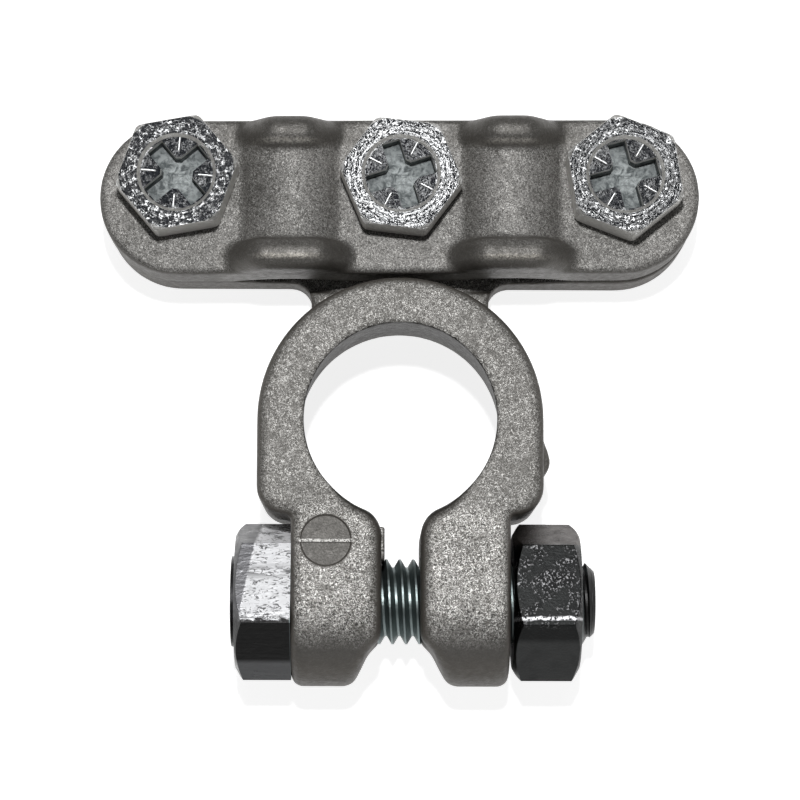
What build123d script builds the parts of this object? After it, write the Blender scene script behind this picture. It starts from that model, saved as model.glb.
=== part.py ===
# Battery terminal clamp: a split ring with a pinch bolt, and a two-cable bridge held by three screws.
# Origin on the axis of the tapered post bore, at the underside of the casting; +Z up along the bore,
# +Y towards the cable bridge, and the pinch bolt lies along X. Millimetres.
import os
from math import atan2, degrees, radians, sqrt, tan

from build123d import *

os.makedirs("parts", exist_ok=True)

# Split ring and its tapered bore
ring_height = 15.2
ring_outer_radius = 13.1
ring_edge_radius = 1.0
bore_top_radius = 8.8
bore_taper = 1 / 9  # loss of diameter per length, as on a battery post
shoulder_level = 8.75  # bore axis to the shoulders over the bolt head and the nut
shoulder_radius = 2.6
shoulder_root_radius = 0.3

# Pinch ears
head_side_width = 9.95  # bore axis to the ear face under the bolt head
nut_side_width = 10.1  # and to the ear face under the nut
ear_gap = 3.55
ear_gap_shift = 0.09  # middle of the gap, towards the nut
ear_length = 24.2
ear_edge_radius = 1.4
pinch_axis_distance = 16.35  # bore axis to pinch bolt axis
lip_radius = 2.8  # rounds the corner between the bore and the slot
lip_fade_radius = 3.5  # bends away inside the bore, so that the edge rounding fades out
toe_start = 19.9
toe_step = 1.2
toe_half_gap = 4.4
toe_corner_radius = 1.8
toe_root_radius = 3.0

# Gate stub left on the flank of the casting
gate_start = -0.4
gate_crest = -3.5
gate_end = -5.3
gate_height = 9.0
gate_proud = 0.7
gate_edge_radius = 0.3

# Cable bridge: lower plate, cast in one with the ring
bridge_distance = 21.35  # bore axis to the middle of the plates
bridge_shift = -0.1  # middle of the plates, from the bore axis towards the bolt head
bridge_length = 56.1
bridge_width = 14.6
base_thickness = 5.4
base_edge_radius = 0.5
neck_half_width = 8.4
neck_root = 10.5
neck_fillet = 2.0

# Cable bridge: loose cap with a hump over each cable way
cap_thickness = 5.4
cap_edge_radius = 0.45
cap_turn = 0.4  # the cap lies a little askew within the play of its holes
cap_hole_clearance = 0.3
saddle_width = 9.0
saddle_rise = 1.9
front_bead_width = 15.0
back_bead_width = 12.8
bead_flank_length = 4.3  # from the end of a bead to its level crest
bead_crest_radius = 2.4
bead_rise = 3.2
bead_foot_dip = 0.3
bead_foot_length = 1.3
bead_foot_radius = 2.0
bead_thickness = 3.0
bead_inset = 0.05
bead_edge_radius = 1.4
way_width = 11.2
way_rise = 1.7
way_depth = 1.0

# Cable screws, M6
screw_end_distance = 7.35  # from the end of the plates to the outer screws
screw_line_offset = 1.4  # the screws stand this far outside the middle of the plates
screw_radius = 2.95
screw_length = 10.0
screw_clearance = 0.06
screw_tip_chamfer = 0.6
screw_head_flats = 10.0
screw_head_height = 4.0
screw_head_bevel = 0.2
dish_radius = 3.65
dish_depth = 0.35
dish_slope = 40.0
recess_reach = 3.1
recess_arm = 1.85
recess_core_radius = 1.55
recess_depth = 1.9
recess_slope = 5.0
head_turn = {"left": 10.3, "middle": -6.6, "right": 39.0}
recess_turn = {"left": 40.0, "middle": 18.0, "right": 15.0}

# Pinch bolt and nut, M8
bolt_radius = 3.95
bolt_length = 28.0
bolt_clearance = 0.08
bolt_tip_chamfer = 1.1
bolt_head_flats = 13.0
bolt_head_height = 5.2
bolt_head_turn = 12.5
head_disc_radius = 4.2
head_disc_rise = 0.4
nut_flats = 13.0
nut_thickness = 6.2
nut_gap = 0.36
nut_turn = -11.5
hexagon_chamfer_angle = 30.0
hexagon_face_share = 0.95  # radius of the flat end face, as a share of half the flats

# Sizes that follow from the ones above
ring_middle = ring_height / 2
bore_slope = bore_taper / 2
ear_round_centre = ear_length - ring_middle
toe_level = toe_start + toe_step
lip_x = ear_gap / 2 + lip_radius
lip_y = -sqrt((bore_top_radius + lip_radius) ** 2 - lip_x**2)
lip_angle = degrees(atan2(lip_y, lip_x))
fade_share = (bore_top_radius - lip_fade_radius) / (bore_top_radius + lip_radius)
fade_x = lip_x * fade_share
fade_y = lip_y * fade_share
bridge_near_edge = bridge_distance - bridge_width / 2
cap_top = base_thickness + cap_thickness
screw_line = bridge_distance + screw_line_offset
screw_pitch = bridge_length / 2 - screw_end_distance
screw_place = {"left": -screw_pitch, "middle": 0.0, "right": screw_pitch}
way_places = (-screw_pitch / 2, screw_pitch / 2)
bead_offset = (bridge_width - bead_thickness) / 2 - bead_inset
beads = {
    bridge_distance - bead_offset: front_bead_width,
    bridge_distance + bead_offset: back_bead_width,
}
saddle_radius = ((saddle_width / 2) ** 2 + saddle_rise**2) / (2 * saddle_rise)
margin = 1.0  # overrun of the cuts
near = 0.01  # slack of the selectors


def upright_plane(x, y, z):
    """Plane across the bridge: its own X runs along the bridge and its own Y runs up."""
    return Plane(origin=(x, y, z), x_dir=(1, 0, 0), z_dir=(0, -1, 0))


def segment(width, rise):
    """Circular segment on the X line of the current sketch, below it where the rise is negative."""
    with BuildLine() as outline:
        ThreePointArc((-width / 2, 0), (0, rise), (width / 2, 0))
        Line((width / 2, 0), (-width / 2, 0))
    make_face(outline.edges())


def turned_corners(origin, direction, flats, height, both_ends):
    """Cuts the corners of a hexagon back to a cone, at its outer end or at both."""
    face_radius = flats / 2 * hexagon_face_share
    spread = 1 / tan(radians(hexagon_chamfer_angle))
    outline = [(0, 0)]
    if both_ends:
        outline += [(0, face_radius), (height / 2, face_radius + height / 2 * spread)]
    else:
        outline += [(0, face_radius + height * spread)]
    outline += [(height, face_radius), (height, 0)]
    with BuildSketch(Plane(origin=origin, x_dir=direction, z_dir=(0, -1, 0))) as profile:
        with BuildLine():
            Polyline(*outline, close=True)
        make_face()
    revolve(profile.sketch, axis=Axis(origin, direction), mode=Mode.INTERSECT)


def bead_at(x, y, width):
    """Rounded bead with hollow feet, which borders a hump of the cap."""
    crest = width / 2 - bead_flank_length
    foot = width / 2 - bead_foot_length
    with BuildPart() as bead:
        with BuildSketch(upright_plane(x, y, cap_top)) as profile:
            with BuildLine():
                Polyline(
                    (-width / 2, -cap_thickness / 2),
                    (-width / 2, -bead_foot_dip),
                    (-foot, -bead_foot_dip),
                    (-crest, bead_rise),
                    (crest, bead_rise),
                    (foot, -bead_foot_dip),
                    (width / 2, -bead_foot_dip),
                    (width / 2, -cap_thickness / 2),
                    close=True,
                )
            make_face()
            fillet(profile.vertices().sort_by(Axis.Y)[-2:], bead_crest_radius)
            feet = profile.vertices().filter_by_position(Axis.X, -foot - near, foot + near)
            fillet(feet.filter_by_position(Axis.Y, -bead_foot_dip - near, 0), bead_foot_radius)
        extrude(amount=bead_thickness / 2, both=True)
        crests = bead.edges().filter_by(Axis.Y, reverse=True).filter_by(Axis.Z, reverse=True)
        crests = crests.filter_by_position(Axis.Z, cap_top - bead_foot_dip - near, cap_top + bead_rise)
        fillet(crests, bead_edge_radius)
    return bead.part


def cable_screw(side):
    """Cable screw: a hexagon head with a dished face and a cross recess."""
    seat = Plane.XY.offset(cap_top)
    place = (screw_place[side], screw_line)
    with BuildPart() as screw:
        with BuildSketch(seat):
            with Locations(place):
                RegularPolygon(screw_head_flats / 2, 6, major_radius=False, rotation=head_turn[side])
        extrude(amount=screw_head_height)
        chamfer(screw.faces().sort_by(Axis.Z)[-1].edges(), screw_head_bevel)
        with BuildSketch(seat):
            with Locations(place):
                Circle(screw_radius)
        extrude(amount=-screw_length)
        chamfer(screw.faces().sort_by(Axis.Z)[0].edges(), screw_tip_chamfer)
        with BuildSketch(seat.offset(screw_head_height)):
            with Locations(place):
                Circle(dish_radius)
        extrude(amount=-dish_depth, taper=dish_slope, mode=Mode.SUBTRACT)
        with BuildSketch(seat.offset(screw_head_height - dish_depth)):
            with Locations(Location((*place, 0), (0, 0, recess_turn[side]))):
                Rectangle(2 * recess_reach, recess_arm)
                Rectangle(recess_arm, 2 * recess_reach)
                Circle(recess_core_radius)
        extrude(amount=-recess_depth, taper=recess_slope, mode=Mode.SUBTRACT)
    return screw.part


# Lower plate of the bridge with the neck that carries it
with BuildPart() as bridge_base:
    with BuildSketch() as base_plan:
        with Locations((bridge_shift, bridge_distance)):
            SlotOverall(bridge_length, bridge_width)
        with Locations((0, (neck_root + bridge_distance) / 2)):
            Rectangle(2 * neck_half_width, bridge_distance - neck_root)
        corners = base_plan.vertices()
        corners = corners.filter_by_position(Axis.Y, bridge_near_edge - near, bridge_near_edge + near)
        corners = corners.filter_by_position(Axis.X, -neck_half_width - near, neck_half_width + near)
        fillet(corners, neck_fillet)
    extrude(amount=base_thickness)
    fillet(bridge_base.edges().filter_by(Axis.Z, reverse=True), base_edge_radius)
    for x in way_places:
        with BuildSketch(upright_plane(x, bridge_distance, base_thickness)):
            segment(way_width, -way_depth)
        extrude(amount=bridge_width / 2 + margin, both=True, mode=Mode.SUBTRACT)
    with Locations([(x, screw_line, base_thickness) for x in screw_place.values()]):
        Hole(screw_radius + screw_clearance)

# Stub of the gate on the flank of the ring
gate_root = ring_outer_radius - gate_edge_radius
with BuildPart() as gate_stub:
    with BuildSketch(Plane.XY.offset(ring_middle - gate_height / 2)):
        with BuildLine():
            Spline(
                (gate_root, gate_start),
                (ring_outer_radius + gate_proud / 3, (gate_start + gate_crest) / 2),
                (ring_outer_radius + gate_proud, gate_crest),
                (gate_root, gate_end),
            )
            Polyline(
                (gate_root, gate_end),
                (gate_root - margin, gate_end),
                (gate_root - margin, gate_start),
                (gate_root, gate_start),
            )
        make_face()
    extrude(amount=gate_height)
    crest_edges = gate_stub.faces().sort_by(Axis.X)[-1].edges().filter_by(Axis.Z, reverse=True)
    fillet(crest_edges, gate_edge_radius)

# Ring, ears, neck and lower plate: one casting
with BuildPart() as clamp_body:
    with BuildSketch() as ring_plan:
        with BuildLine():
            ThreePointArc((ring_outer_radius, 0), (0, ring_outer_radius), (-ring_outer_radius, 0))
            Polyline(
                (-ring_outer_radius, 0),
                (-ring_outer_radius, -shoulder_level),
                (-head_side_width, -shoulder_level),
                (-head_side_width, -ear_length),
                (nut_side_width, -ear_length),
                (nut_side_width, -shoulder_level),
                (ring_outer_radius, -shoulder_level),
                (ring_outer_radius, 0),
            )
        make_face()
        shoulders = ring_plan.vertices().group_by(Axis.Y)[1].sort_by(Axis.X)
        fillet([shoulders[0], shoulders[-1]], shoulder_radius)
        shoulder_roots = ring_plan.vertices().group_by(Axis.Y)[1].sort_by(Axis.X)
        fillet([shoulder_roots[1], shoulder_roots[-2]], shoulder_root_radius)
    extrude(amount=ring_height)
    # the ears end half round
    with BuildSketch(Plane.YZ):
        with Locations((-ear_length, ring_middle)):
            Rectangle(2 * ring_middle, ring_height + 2 * margin)
        with Locations((-ear_round_centre, ring_middle)):
            Circle(ring_middle, mode=Mode.SUBTRACT)
    extrude(amount=ring_outer_radius + margin, both=True, mode=Mode.SUBTRACT)
    rim = clamp_body.edges().filter_by(Axis.Z, reverse=True).filter_by(Axis.X, reverse=True)
    fillet(rim, ring_edge_radius)
    # slot between the ears, with rounded lips at the bore and flared toes
    with BuildSketch(Plane((ear_gap_shift, 0, 0))) as slot_plan:
        with BuildLine():
            Line((0, fade_y + lip_fade_radius), (fade_x, fade_y + lip_fade_radius))
            CenterArc((fade_x, fade_y), lip_fade_radius, 90, lip_angle - 90)
            CenterArc((lip_x, lip_y), lip_radius, 180 + lip_angle, -lip_angle)
            Polyline(
                (ear_gap / 2, lip_y),
                (ear_gap / 2, -toe_start),
                (ear_gap / 2 + toe_step, -toe_level),
                (toe_half_gap, -ear_length),
                (toe_half_gap, -ear_length - margin),
                (0, -ear_length - margin),
            )
            mirror(about=Plane.YZ)
        make_face()
        toe_corners = slot_plan.vertices()
        toe_corners = toe_corners.filter_by_position(Axis.Y, -toe_start - near, -toe_start + near)
        fillet(toe_corners, toe_corner_radius)
        toe_roots = slot_plan.vertices()
        toe_roots = toe_roots.filter_by_position(Axis.Y, -toe_level - near, -toe_level + near)
        fillet(toe_roots, toe_root_radius)
    extrude(amount=ring_height, mode=Mode.SUBTRACT)
    slot_edges = clamp_body.edges().filter_by(Axis.Z, reverse=True)
    slot_reach = fade_x + lip_fade_radius + ear_gap_shift + near
    slot_edges = slot_edges.filter_by_position(Axis.X, -slot_reach, slot_reach)
    slot_edges = slot_edges.filter_by_position(Axis.Y, -ear_length, fade_y + lip_fade_radius + near)
    fillet(slot_edges, ear_edge_radius)
    add(bridge_base.part)
    add(gate_stub.part)
    # tapered bore for the battery post
    with BuildSketch(Plane.XZ):
        with BuildLine():
            Polyline(
                (0, -margin),
                (bore_top_radius + bore_slope * (ring_height + margin), -margin),
                (bore_top_radius - bore_slope * margin, ring_height + margin),
                (0, ring_height + margin),
                close=True,
            )
        make_face()
    revolve(axis=Axis.Z, mode=Mode.SUBTRACT)
    # hole for the pinch bolt through both ears
    with BuildSketch(Plane.YZ):
        with Locations((-pinch_axis_distance, ring_middle)):
            Circle(bolt_radius + bolt_clearance)
    extrude(amount=ring_outer_radius, both=True, mode=Mode.SUBTRACT)
clamp_body.part.label = "clamp_body"
export_step(clamp_body.part, "parts/clamp_body.step")

# Loose cap over the cables
with BuildPart() as cable_cap:
    with BuildSketch(Plane.XY.offset(base_thickness)):
        with Locations((bridge_shift, bridge_distance)):
            SlotOverall(bridge_length, bridge_width)
    extrude(amount=cap_thickness)
    fillet(cable_cap.edges().filter_by(Axis.Z, reverse=True), cap_edge_radius)
    # humps: a saddle over each cable with a rounded bead along both edges of the plate
    for x in way_places:
        with BuildSketch(upright_plane(x, bridge_distance, cap_top + saddle_rise - saddle_radius)):
            Circle(saddle_radius)
        extrude(amount=(bridge_width - bead_thickness) / 2, both=True)
        for y, width in beads.items():
            add(bead_at(x, y, width))
    split(bisect_by=Plane.XY.offset(base_thickness), keep=Keep.TOP)
    for x in way_places:
        with BuildSketch(upright_plane(x, bridge_distance, base_thickness)):
            segment(way_width, way_rise)
        extrude(amount=bridge_width / 2 + margin, both=True, mode=Mode.SUBTRACT)
    with Locations([(x, screw_line, cap_top) for x in screw_place.values()]):
        Hole(screw_radius + cap_hole_clearance)
cable_cap.part = cable_cap.part.rotate(Axis((0, screw_line, 0), (0, 0, 1)), cap_turn)
cable_cap.part.label = "cable_cap"
export_step(cable_cap.part, "parts/cable_cap.step")

# Cable screws
screws = {side: cable_screw(side) for side in screw_place}
for side, screw in screws.items():
    screw.label = f"cable_screw_{side}"
    export_step(screw, f"parts/cable_screw_{side}.step")

# Pinch bolt: hexagon head against the ear on the -X side
bolt_seat = (-head_side_width, -pinch_axis_distance, ring_middle)
with BuildPart() as pinch_bolt:
    with BuildSketch(Plane(origin=bolt_seat, x_dir=(0, 1, 0), z_dir=(-1, 0, 0))):
        RegularPolygon(bolt_head_flats / 2, 6, major_radius=False, rotation=bolt_head_turn)
    extrude(amount=bolt_head_height)
    turned_corners(bolt_seat, (-1, 0, 0), bolt_head_flats, bolt_head_height, False)
    with BuildSketch(Plane(origin=bolt_seat, x_dir=(0, 1, 0), z_dir=(-1, 0, 0)).offset(bolt_head_height)):
        Circle(head_disc_radius)
    extrude(amount=head_disc_rise)
    with BuildSketch(Plane(origin=bolt_seat, x_dir=(0, 1, 0), z_dir=(1, 0, 0))):
        Circle(bolt_radius)
    extrude(amount=bolt_length)
    chamfer(pinch_bolt.faces().sort_by(Axis.X)[-1].edges(), bolt_tip_chamfer)
pinch_bolt.part.label = "pinch_bolt"
export_step(pinch_bolt.part, "parts/pinch_bolt.step")

# Pinch nut, turned back a little from the ear on the +X side
nut_seat = (nut_side_width + nut_gap, -pinch_axis_distance, ring_middle)
with BuildPart() as pinch_nut:
    with BuildSketch(Plane(origin=nut_seat, x_dir=(0, 1, 0), z_dir=(1, 0, 0))):
        RegularPolygon(nut_flats / 2, 6, major_radius=False, rotation=nut_turn)
        Circle(bolt_radius + bolt_clearance, mode=Mode.SUBTRACT)
    extrude(amount=nut_thickness)
    turned_corners(nut_seat, (1, 0, 0), nut_flats, nut_thickness, True)
pinch_nut.part.label = "pinch_nut"
export_step(pinch_nut.part, "parts/pinch_nut.step")
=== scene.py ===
# Battery terminal clamp: final shapes and finishes of the casting, cap, screws, pinch bolt and nut
import math

import bpy
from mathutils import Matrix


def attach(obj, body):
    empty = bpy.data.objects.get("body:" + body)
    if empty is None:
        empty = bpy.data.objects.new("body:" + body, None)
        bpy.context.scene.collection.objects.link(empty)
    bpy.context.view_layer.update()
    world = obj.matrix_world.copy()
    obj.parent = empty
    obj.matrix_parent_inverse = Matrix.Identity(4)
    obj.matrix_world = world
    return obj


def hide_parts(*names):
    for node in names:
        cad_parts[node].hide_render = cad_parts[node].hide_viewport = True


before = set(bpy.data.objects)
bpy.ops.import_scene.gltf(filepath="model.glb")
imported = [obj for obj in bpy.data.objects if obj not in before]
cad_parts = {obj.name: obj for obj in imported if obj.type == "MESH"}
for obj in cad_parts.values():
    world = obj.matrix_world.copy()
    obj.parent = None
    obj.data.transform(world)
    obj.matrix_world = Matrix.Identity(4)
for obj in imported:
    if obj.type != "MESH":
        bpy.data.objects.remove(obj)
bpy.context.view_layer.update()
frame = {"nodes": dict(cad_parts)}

mm = 0.001
weldDistance = 0.002 * mm
flatAngle = math.radians(1.0)
print("frame loaded:", ", ".join(frame["nodes"]))

# places and sizes that several pieces share, in millimetres
screwPlaces = {"left": -20.7, "middle": 0.0, "right": 20.7}
screwLine = 22.75
headSeat = 10.8
headHeight = 4.0
headTop = headSeat + headHeight
dishRadius = 3.65
boltLine = {"y": -16.35, "z": 7.6}


def deselectAll():
    if bpy.context.object and bpy.context.object.mode == "EDIT":
        bpy.ops.object.mode_set(mode="OBJECT")
    bpy.ops.object.select_all(action="DESELECT")


def pick(piece):
    deselectAll()
    piece.select_set(True)
    bpy.context.view_layer.objects.active = piece


def applyModifier(piece, kind, name, **settings):
    modifier = piece.modifiers.new(name, kind)
    for key, value in settings.items():
        setattr(modifier, key, value)
    pick(piece)
    bpy.ops.object.modifier_apply(modifier=modifier.name)


def settle(piece):
    pick(piece)
    bpy.ops.object.transform_apply(location=True, rotation=True, scale=True)


def roundEdges(piece, name, width, segments, degrees):
    # bevels the edges that are sharper than the angle; the width is in millimetres
    applyModifier(
        piece,
        "BEVEL",
        name,
        width=width * mm,
        segments=segments,
        limit_method="ANGLE",
        angle_limit=math.radians(degrees),
    )


def joinPieces(name, pieces):
    deselectAll()
    for piece in pieces:
        piece.select_set(True)
    bpy.context.view_layer.objects.active = pieces[0]
    bpy.ops.object.join()
    joined = bpy.context.object
    joined.name = name
    joined.data.name = name
    return joined


def smoothByAngle(piece, degrees):
    pick(piece)
    bpy.ops.object.shade_smooth_by_angle(angle=math.radians(degrees))


def smoothSides(piece, degrees):
    smoothByAngle(piece, degrees)
    applyModifier(piece, "WEIGHTED_NORMAL", "evenShade", keep_sharp=True, weight=80)


def copyOfNode(nodeName, name):
    source = frame["nodes"][nodeName]
    copy = source.copy()
    copy.data = source.data.copy()
    copy.name = name
    bpy.context.scene.collection.objects.link(copy)
    copy.parent = None
    pick(copy)
    bpy.ops.object.mode_set(mode="EDIT")
    bpy.ops.mesh.select_all(action="SELECT")
    bpy.ops.mesh.remove_doubles(threshold=weldDistance)
    bpy.ops.object.mode_set(mode="OBJECT")
    return copy


def flattenPlanes(piece):
    pick(piece)
    bpy.ops.object.mode_set(mode="EDIT")
    bpy.ops.mesh.select_all(action="SELECT")
    bpy.ops.mesh.dissolve_limited(angle_limit=flatAngle)
    bpy.ops.object.mode_set(mode="OBJECT")


def selectFaces(piece, wanted):
    pick(piece)
    bpy.context.tool_settings.mesh_select_mode = (False, False, True)
    bpy.ops.object.mode_set(mode="EDIT")
    bpy.ops.mesh.select_all(action="DESELECT")
    bpy.ops.object.mode_set(mode="OBJECT")
    for face in piece.data.polygons:
        face.select = wanted(face)
    bpy.ops.object.mode_set(mode="EDIT")


def newMaterial(name):
    material = bpy.data.materials.new(name)
    material.use_nodes = True
    nodes = material.node_tree.nodes
    nodes.clear()
    output = nodes.new("ShaderNodeOutputMaterial")
    shader = nodes.new("ShaderNodeBsdfPrincipled")
    material.node_tree.links.new(shader.outputs["BSDF"], output.inputs["Surface"])
    return material, shader


def addNode(material, kind, inputs=None, **settings):
    node = material.node_tree.nodes.new(kind)
    for key, value in settings.items():
        setattr(node, key, value)
    for key, value in (inputs or {}).items():
        if isinstance(value, bpy.types.NodeSocket):
            material.node_tree.links.new(value, node.inputs[key])
        else:
            node.inputs[key].default_value = value
    return node


def link(material, source, target):
    material.node_tree.links.new(source, target)


def placeOn(material, centre=(0, 0, 0), turn=(0, 0, 0), stretch=(1, 1, 1)):
    # the pattern's own place: moved to the centre, turned, then stretched
    coordinate = addNode(material, "ShaderNodeTexCoord")
    moved = addNode(
        material, "ShaderNodeVectorMath", {0: coordinate.outputs["Object"], 1: centre}, operation="SUBTRACT"
    )
    mapping = addNode(material, "ShaderNodeMapping", {"Vector": moved.outputs["Vector"]})
    mapping.inputs["Rotation"].default_value = turn
    mapping.inputs["Scale"].default_value = stretch
    return mapping.outputs["Vector"]


def upness(material):
    coordinate = addNode(material, "ShaderNodeTexCoord")
    parts = addNode(material, "ShaderNodeSeparateXYZ", {"Vector": coordinate.outputs["Normal"]})
    return parts.outputs["Z"]


def axesOf(material, vector):
    parts = addNode(material, "ShaderNodeSeparateXYZ", {"Vector": vector})
    return parts.outputs["X"], parts.outputs["Y"], parts.outputs["Z"]


def noise(material, vector, scale, detail=2.0, roughness=0.5, distortion=0.0):
    inputs = {"Vector": vector, "Scale": scale, "Detail": detail, "Roughness": roughness}
    node = addNode(material, "ShaderNodeTexNoise", {**inputs, "Distortion": distortion})
    return node.outputs["Fac"]


def calc(material, operation, first, second=0.0):
    node = addNode(material, "ShaderNodeMath", {0: first, 1: second}, operation=operation)
    return node.outputs["Value"]


def times(material, first, *others):
    for other in others:
        first = calc(material, "MULTIPLY", first, other)
    return first


def most(material, first, second):
    return calc(material, "MAXIMUM", first, second)


def plus(material, first, second):
    return calc(material, "ADD", first, second)


def minus(material, first, second):
    return calc(material, "SUBTRACT", first, second)


def apart(material, first, second):
    return calc(material, "ABSOLUTE", minus(material, first, second))


def fromAxis(material, x, y):
    squares = [calc(material, "POWER", part, 2.0) for part in (x, y)]
    return calc(material, "SQRT", plus(material, *squares))


def spread(material, value, low, high, toLow=0.0, toHigh=1.0, smooth=False):
    node = addNode(
        material,
        "ShaderNodeMapRange",
        {"Value": value, "From Min": low, "From Max": high, "To Min": toLow, "To Max": toHigh},
        interpolation_type="SMOOTHSTEP" if smooth else "LINEAR",
    )
    return node.outputs["Result"]


def fade(material, value, near, far, smooth=False):
    # 1 as far as near, and 0 from far on
    return spread(material, value, near, far, 1.0, 0.0, smooth)


def between(material, share, atNone, atFull):
    return spread(material, share, 0.0, 1.0, atNone, atFull)


lineCore = 0.4  # share of a line's width that has its full strength
noiseMiddle = 0.5


def ridges(material, value, width):
    # thin lines where the noise crosses its middle
    return fade(material, apart(material, value, noiseMiddle), lineCore * width, width)


def mixColour(material, factor, first, second, blend="MIX"):
    # inputs 0, 6 and 7 are the factor and the two colours, and output 2 is the mixed colour
    node = addNode(material, "ShaderNodeMix", data_type="RGBA", blend_type=blend)
    for socket, value in ((node.inputs[0], factor), (node.inputs[6], first), (node.inputs[7], second)):
        if isinstance(value, bpy.types.NodeSocket):
            link(material, value, socket)
        else:
            socket.default_value = value
    return node.outputs[2]


def addBump(material, shader, height, strength, depth):
    bump = addNode(material, "ShaderNodeBump", {"Height": height, "Strength": strength, "Distance": depth})
    link(material, bump.outputs["Normal"], shader.inputs["Normal"])


def dress(piece, material):
    piece.data.materials.clear()
    piece.data.materials.append(material)


# each noise: scale, detail, roughness, distortion
castNoise = {
    "grain": (5200.0, 2.0, 0.75),
    "coarse": (1700.0, 2.0, 0.6),
    "cloud": (150.0, 3.0, 0.55),
    "patches": (700.0, 2.0, 0.6),
    "curls": (3900.0, 1.0, 0.5, 1.3),
    "creases": (3600.0, 1.0, 0.5, 1.2),
}
castingLook = {
    "light": (0.205, 0.198, 0.186, 1),
    "dark": (0.135, 0.130, 0.120, 1),
    "cloudBand": (0.36, 0.64),
    "mottle": 0.3,
    "mottleBand": (0.38, 0.62),
    "contrast": 0.75,
    "contrastBand": (0.34, 0.66),
    "crease": (0.050, 0.046, 0.041, 1),
    "creaseShare": 0.75,
    "creaseWidth": 0.055,
    # painted glints: the near-white colour of the bright curls
    "paintedGlintColour": (0.95, 0.94, 0.91, 1),
    "paintedGlint": 0.9,
    "paintedGlintBand": (0.34, 0.46),
    "curlWidth": 0.042,
    "patchBand": (0.24, 0.46),
    # painted shade: the colour that upright faces and rounded edges turn to
    "paintedShade": (0.078, 0.071, 0.062, 1),
    "paintedShadeFrom": 0.5,
    "topFrom": 0.995,
    "metallic": 0.30,
    "specular": 0.3,
    "roughBand": (0.3, 0.7),
    "roughness": (0.42, 0.60),
    "coarseHeight": 0.9,
    "bumpStrength": 0.6,
    "grainDepth": 0.08 * mm,
}
capLook = {
    **castingLook,
    "light": (0.172, 0.167, 0.159, 1),
    "dark": (0.112, 0.109, 0.103, 1),
    # painted shade: the cap's colour for upright faces and rounded edges
    "paintedShade": (0.085, 0.079, 0.070, 1),
    "contrast": 0.45,
    "paintedGlint": 0.3,
    "paintedShadeFrom": 0.10,
    "mottle": 0.12,
}


def castSkin(material, look):
    # cloudy grey with a fine grain and dark creases, and painted glints: short bright curls on the faces that
    # look up, standing in for the lamp's glints on the grain
    place = placeOn(material)
    layers = {name: noise(material, place, *pattern) for name, pattern in castNoise.items()}
    top = spread(material, upness(material), look["paintedShadeFrom"], look["topFrom"], smooth=True)
    clouded = spread(material, layers["cloud"], *look["cloudBand"])
    base = mixColour(material, clouded, look["dark"], look["light"])
    mottled = spread(material, layers["coarse"], *look["mottleBand"], look["mottle"], 0.0)
    base = mixColour(material, mottled, base, look["dark"])
    darkest, lightest = 1.0 - look["contrast"], 1.0 + look["contrast"]
    shade = spread(material, layers["grain"], *look["contrastBand"], darkest, lightest)
    shades = addNode(material, "ShaderNodeCombineColor", {0: shade, 1: shade, 2: shade})
    base = mixColour(material, 1.0, base, shades.outputs["Color"], "MULTIPLY")
    creases = ridges(material, layers["creases"], look["creaseWidth"])
    base = mixColour(material, times(material, creases, look["creaseShare"]), base, look["crease"])
    curls = ridges(material, layers["curls"], look["curlWidth"])
    patches = spread(material, layers["patches"], *look["patchBand"])
    grains = spread(material, layers["grain"], *look["paintedGlintBand"])
    # painted glints: bright curls only on faces that look up
    paintedGlint = times(material, curls, patches, grains, look["paintedGlint"], top)
    return {"place": place, "top": top, "base": base, "paintedGlint": paintedGlint, **layers}


def finishSkin(material, shader, look, skin, paintedShade, rough):
    # painted shade: the skin turns into the darker shade colour where the surface stands upright, standing in
    # for the shade on walls and rounded edges
    shader.inputs["Specular IOR Level"].default_value = look["specular"]
    base = mixColour(material, skin["paintedGlint"], skin["base"], look["paintedGlintColour"])
    base = mixColour(material, skin["top"], paintedShade, base)
    link(material, base, shader.inputs["Base Color"])
    link(material, rough, shader.inputs["Roughness"])
    height = plus(material, skin["grain"], times(material, skin["coarse"], look["coarseHeight"]))
    addBump(material, shader, height, look["bumpStrength"], look["grainDepth"])


earLook = {
    "from": -7.5 * mm,
    "blend": 2.0 * mm,
    "ring": (0.095, 0.091, 0.084, 1),
    "ringShare": 0.6,
    "ringPaintedGlint": 0.55,
    "tip": (0.072, 0.070, 0.067, 1),
    "tipShare": 0.85,
    "tipFrom": -18.0 * mm,
    "tipTo": -20.5 * mm,
    "tipWaver": 1.2 * mm,
}


def earTint(material, skin, y):
    # the ring is darker than the ears and has fewer painted glints; the ear tips are darker and have no
    # painted glints
    onEars = fade(material, y, earLook["from"] - earLook["blend"], earLook["from"], smooth=True)
    share = between(material, onEars, earLook["ringShare"], 0.0)
    skin["base"] = mixColour(material, share, skin["base"], earLook["ring"])
    skin["paintedGlint"] = times(material, skin["paintedGlint"], between(material, onEars, earLook["ringPaintedGlint"], 1.0))
    wavered = plus(material, y, times(material, skin["coarse"], earLook["tipWaver"]))
    onTip = fade(material, wavered, earLook["tipTo"], earLook["tipFrom"])
    tipShare = times(material, onTip, earLook["tipShare"])
    skin["base"] = mixColour(material, tipShare, skin["base"], earLook["tip"])
    skin["paintedGlint"] = times(material, skin["paintedGlint"], minus(material, 1.0, onTip))


# the sunk pole mark on one ear, in millimetres: a round floor with a bar left standing across it
markLook = {
    "x": -6.75,
    "y": -11.15,
    "top": 15.2,
    "radius": 2.38,
    "depth": 0.16,
    "bar": 0.26,
    "cutterMargin": 1.0,
    "edgeFrom": -0.05,
    "edgeTo": 0.15,
    "barFrom": 0.08,
    "barTo": 0.16,
    "skin": (0.105, 0.100, 0.093, 1),
    "skinShare": 0.72,
    # painted shade round the rim of the sunk floor
    "rimShadeFrom": 0.04,
    "rimShadeTo": 0.24,
    "rimShadeShare": 0.2,
    "barGrain": (0.46, 0.60),
    "barPaintedGlint": 0.4,
}


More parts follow.
